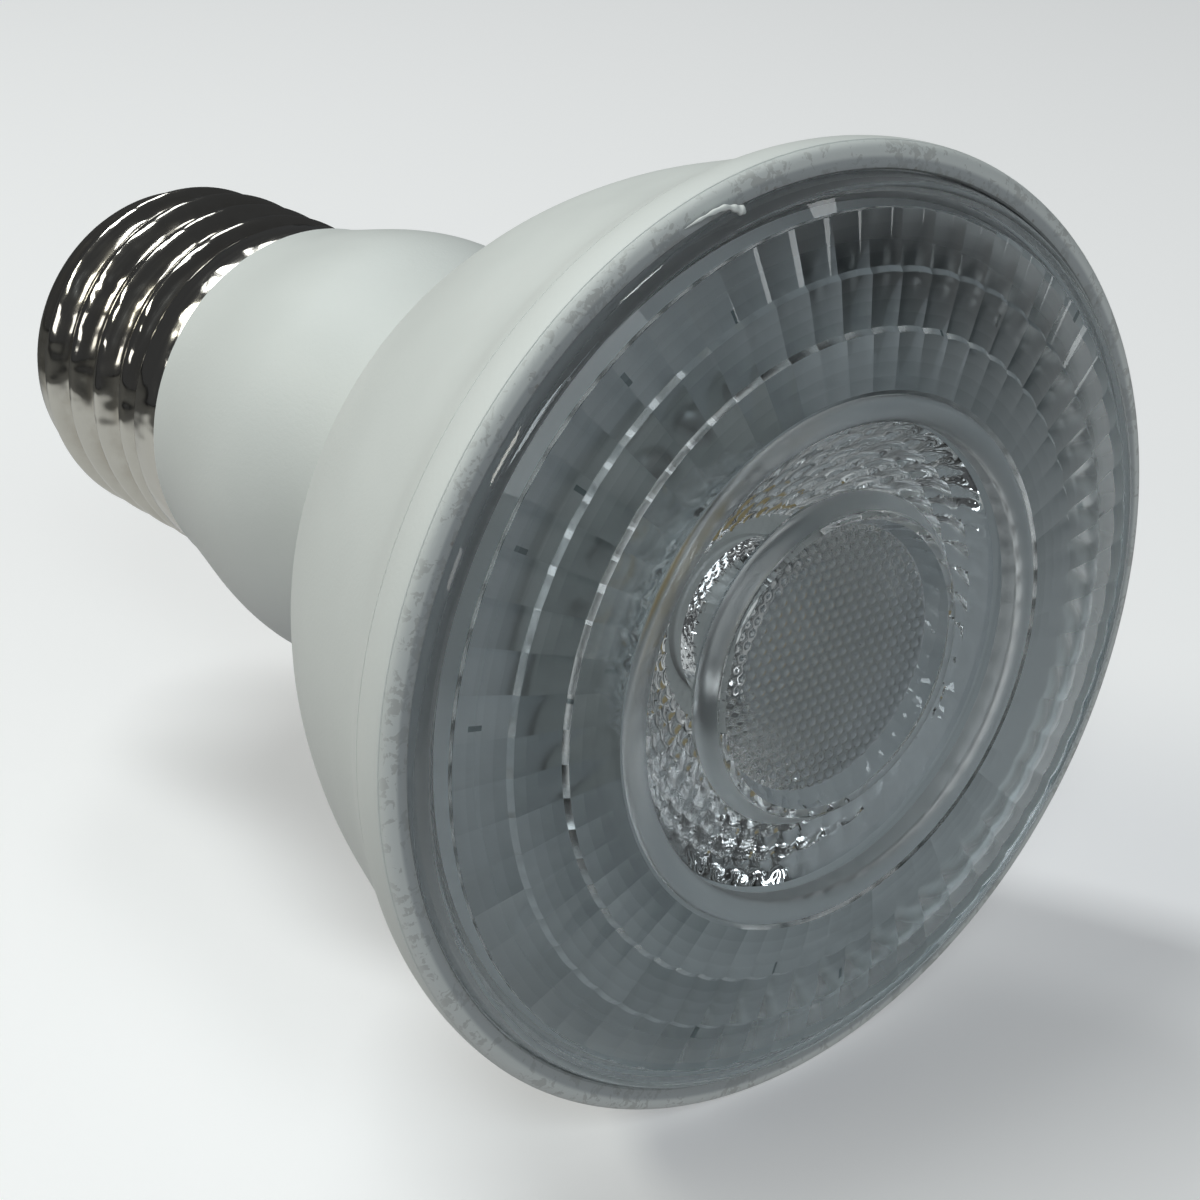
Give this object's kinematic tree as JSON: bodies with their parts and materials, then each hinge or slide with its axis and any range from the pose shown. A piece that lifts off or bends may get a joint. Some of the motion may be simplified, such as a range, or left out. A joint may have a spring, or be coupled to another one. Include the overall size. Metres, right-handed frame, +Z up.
{
  "type": "led reflector lamp",
  "caption": "Reflector spot lamp with a screw cap, a white bell housing and a clear faceted lens over one light source.",
  "frame": {"origin": "tip of the centre contact, on the lamp's axis, where the lamp holder's contact meets it", "axes": "+Y along the lamp's axis from the lens to the cap, so the lens faces -Y; +Z up; +X to the right of the lens seen from the front"},
  "size_m": [0.0636, 0.084, 0.0634],
  "materials": {
    "nickel_plate": "bright nickel plate with rubbed crests",
    "cap_glass": "dark glassy insulator",
    "brass": "dull brass with a soft sheen",
    "white_moulding": "fine matt white moulding",
    "aluminium": "drawn aluminium",
    "grey_plastic": "plain moulded plastic",
    "circuit_board": "green solder mask",
    "can_sleeve": "shrunk sleeve on a metal can",
    "ferrite": "sintered dark grey ferrite",
    "black_plastic": "moulded black",
    "winding_tape": "yellow winding tape",
    "film_case": "dipped resin case",
    "resistor_coat": "flame-proof coat",
    "red_wire": "wire insulation",
    "black_wire": "wire insulation",
    "white_wire": "wire insulation",
    "white_board": "white solder mask on aluminium",
    "white_silicone": "cast white silicone",
    "phosphor": "yellow phosphor in silicone",
    "screw_steel": "zinc plate",
    "clear_lens": "clear moulded acrylic"
  },
  "bodies": {
    "root": {"screw_shell": "nickel_plate", "cap_insulator": "cap_glass", "centre_contact": "brass", "housing": "white_moulding", "heat_sink": "aluminium", "driver_sleeve": "grey_plastic", "driver_board": "circuit_board", "input_capacitor": "can_sleeve", "output_capacitor": "can_sleeve", "transformer_core": "ferrite", "transformer_bobbin": "black_plastic", "transformer_winding": "winding_tape", "film_capacitor": "film_case", "bridge_rectifier": "black_plastic", "controller_chip": "black_plastic", "output_diode": "black_plastic", "choke": "ferrite", "fuse_resistor": "resistor_coat", "live_wire": "red_wire", "neutral_wire": "black_wire", "led_wire_positive": "white_wire", "led_wire_negative": "white_wire", "led_board": "white_board", "led_dam": "white_silicone", "led_phosphor": "phosphor", "board_screws": "screw_steel", "lens": "clear_lens"}
  },
  "joints": []
}
